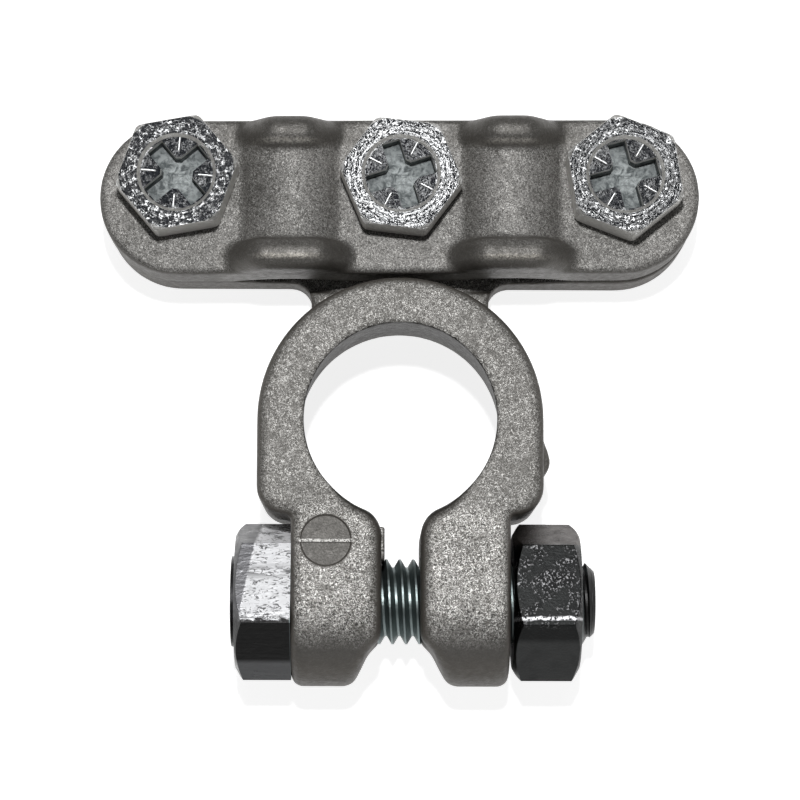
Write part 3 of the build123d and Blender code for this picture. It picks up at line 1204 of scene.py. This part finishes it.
pinchThread = {
    "pitch": 1.25,
    "crest": 3.95,
    "root": 3.2,
    "start": 0.9,
    "end": 28.0,
    "tip": 1.1,
    "sunk": 0.4,
    "coreBevel": 0.3,
}
pinchBoltLook = {"seat": -9.95, "corner": 0.3, "cutter": 40.0, "cutterGap": 0.01, "smoothUpTo": 40}


def pinchHead(look):
    # the head alone, with its corners rounded
    head = copyOfNode("pinch_bolt", "pinchHead")
    flattenPlanes(head)
    cutterX = look["seat"] - look["cutterGap"] + look["cutter"] / 2
    bpy.ops.mesh.primitive_cube_add(
        size=look["cutter"] * mm, location=(cutterX * mm, boltLine["y"] * mm, boltLine["z"] * mm)
    )
    cutter = bpy.context.object
    settle(cutter)
    cutAway(head, [cutter])
    flattenPlanes(head)
    roundEdges(head, "corners", look["corner"], segments=3, degrees=22)
    smoothSides(head, look["smoothUpTo"])
    return head


def pinchBoltPiece():
    head = pinchHead(pinchBoltLook)
    shank = threadedShank("pinchShank", pinchThread)
    shank.rotation_euler = (0, math.pi / 2, 0)
    shank.location = (pinchBoltLook["seat"] * mm, boltLine["y"] * mm, boltLine["z"] * mm)
    settle(shank)
    return joinPieces("pinchBolt", [head, shank])


pinchBolt = pinchBoltPiece()
dress(pinchBolt, boltZinc)
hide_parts("pinch_bolt")
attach(pinchBolt, "bolt")
print("pinch bolt made")

pinchNutLook = {"corner": 0.35, "smoothUpTo": 40}


def pinchNutPiece():
    piece = copyOfNode("pinch_nut", "pinchNut")
    flattenPlanes(piece)
    roundEdges(piece, "corners", pinchNutLook["corner"], segments=4, degrees=22)
    smoothSides(piece, pinchNutLook["smoothUpTo"])
    return piece


nut = pinchNutPiece()
dress(nut, nutZinc)
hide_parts("pinch_nut")
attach(nut, "nut")
print("nut made")

# the stage's lengths are in metres
stageLook = {
    "floorColour": (0.55, 0.55, 0.55, 1),
    "floorGlow": 0.84,
    "floorSize": 3.0,
    "floorLevel": -0.00005,
    "horizon": 0.34,
    "ceiling": 0.08,
    "skyBand": (0.25, 0.85),
}
lampLook = {
    "flash": {"place": (-0.004, 0.052, 0.30), "size": 0.016, "power": 0.70},
    "fill": {"place": (0.0, 0.20, 0.42), "size": 0.22, "power": 0.24},
    "low": {"place": (0.03, -0.30, 0.12), "size": 0.20, "power": 0.10},
}


def seenRays(material):
    # 1 for camera, glossy and transmission rays
    path = addNode(material, "ShaderNodeLightPath")
    seen = most(material, path.outputs["Is Camera Ray"], path.outputs["Is Glossy Ray"])
    return most(material, seen, path.outputs["Is Transmission Ray"])


def makeFloor():
    bpy.ops.mesh.primitive_plane_add(size=stageLook["floorSize"], location=(0, 0, stageLook["floorLevel"]))
    floor = bpy.context.object
    floor.name = "floor"
    settle(floor)
    material = bpy.data.materials.new("paleFloor")
    material.use_nodes = True
    material.node_tree.nodes.clear()
    matt = addNode(material, "ShaderNodeBsdfDiffuse", {"Color": stageLook["floorColour"]})
    strength = times(material, seenRays(material), stageLook["floorGlow"])
    glow = addNode(material, "ShaderNodeEmission", {"Strength": strength})
    both = addNode(material, "ShaderNodeAddShader", {0: matt.outputs[0], 1: glow.outputs[0]})
    addNode(material, "ShaderNodeOutputMaterial", {"Surface": both.outputs[0]})
    dress(floor, material)


def makeWorld():
    # white to the camera; for the light, pale near the horizon and dark overhead
    world = bpy.data.worlds.new("studio")
    bpy.context.scene.world = world
    world.use_nodes = True
    world.node_tree.nodes.clear()
    direction = addNode(world, "ShaderNodeTexCoord").outputs["Generated"]
    height = axesOf(world, direction)[2]
    level = spread(world, height, *stageLook["skyBand"], stageLook["horizon"], stageLook["ceiling"])
    path = addNode(world, "ShaderNodeLightPath")
    strength = most(world, path.outputs["Is Camera Ray"], level)
    background = addNode(world, "ShaderNodeBackground", {"Strength": strength})
    addNode(world, "ShaderNodeOutputWorld", {"Surface": background.outputs[0]})


def makeLamp(name, look):
    # a round lamp that faces the origin
    x, y, z = look["place"]
    light = bpy.data.lights.new(name, "AREA")
    light.shape = "DISK"
    light.size = look["size"]
    light.energy = look["power"]
    lamp = bpy.data.objects.new(name, light)
    lamp.location = look["place"]
    lamp.rotation_euler = (-math.atan2(y, z), math.atan2(x, math.hypot(y, z)), 0)
    bpy.context.scene.collection.objects.link(lamp)


# the camera's place is in millimetres
cameraView = {"place": (-2.06, -28.65, 277.5), "turn": (0.115, -0.008, 0.003), "lens": 130.44}


def makeCamera():
    data = bpy.data.cameras.new("camera")
    data.lens = cameraView["lens"]
    data.sensor_width = 36.0
    data.sensor_fit = "HORIZONTAL"
    data.clip_start = 0.01
    camera = bpy.data.objects.new("camera", data)
    camera.location = [value * mm for value in cameraView["place"]]
    camera.rotation_euler = cameraView["turn"]
    bpy.context.scene.collection.objects.link(camera)
    bpy.context.scene.camera = camera


makeFloor()
makeWorld()
for name, look in lampLook.items():
    makeLamp(name, look)
makeCamera()
bpy.context.scene.view_settings.view_transform = "Standard"
print("stage, lamps and camera set")
